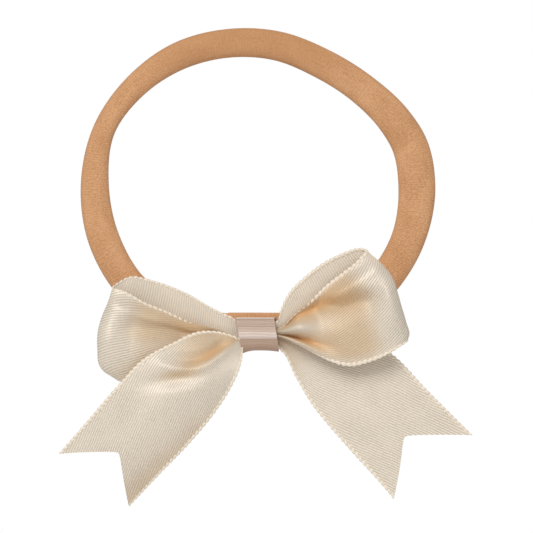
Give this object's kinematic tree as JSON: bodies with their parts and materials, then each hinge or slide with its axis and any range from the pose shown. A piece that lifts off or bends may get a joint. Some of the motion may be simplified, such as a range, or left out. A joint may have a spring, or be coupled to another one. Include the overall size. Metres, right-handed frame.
{
  "type": "bow headband",
  "caption": "Soft stretch loop that goes round a small head, with a satin ribbon bow with two tails fixed over its join.",
  "frame": {"origin": "middle of the loop's opening, in the band's mid-plane, where the head goes through", "axes": "-Y points out of the bow's front, at the viewer; +Z points from the bow up across the opening; +X is to the viewer's right; the loop stands in the XZ plane with the bow at the bottom"},
  "size_m": [0.1021, 0.0186, 0.1187],
  "materials": {
    "nylon_band": "soft brushed nylon knit",
    "satin_ribbon": "satin weave",
    "narrow_satin": "satin weave",
    "thread": "matt polyester thread",
    "glue": "clear hot-melt glue"
  },
  "bodies": {
    "band": {"band_loop": "nylon_band"},
    "bow": {"band_join": "nylon_band", "join_stitches": "thread", "glue_pad": "glue", "centre_wrap": "narrow_satin", "wrap_glue": "glue", "binding_thread": "thread", "gather": "satin_ribbon", "left_loop": "satin_ribbon", "right_loop": "satin_ribbon", "left_tail_root": "satin_ribbon", "right_tail_root": "satin_ribbon"},
    "left_tail": {"left_tail": "satin_ribbon"},
    "right_tail": {"right_tail": "satin_ribbon"}
  },
  "joints": [
    {"name": "bow_turn", "type": "hinge", "parent": "band", "child": "bow", "pos_m": [0, 0, -0.036], "axis": [1, 0, 0], "range_deg": [0, 90], "stiffness_Nm_per_rad": 0.003},
    {"name": "left_tail_swing", "type": "hinge", "parent": "bow", "child": "left_tail", "pos_m": [-0.01891, -0.0159, -0.06139], "axis": [-0.7934, 0, 0.6088], "range_deg": [-30, 60], "stiffness_Nm_per_rad": 0.0001},
    {"name": "right_tail_swing", "type": "hinge", "parent": "bow", "child": "right_tail", "pos_m": [0.01672, -0.0057, -0.05668], "axis": [-0.766, 0, -0.6428], "range_deg": [-45, 45], "stiffness_Nm_per_rad": 0.0001}
  ]
}
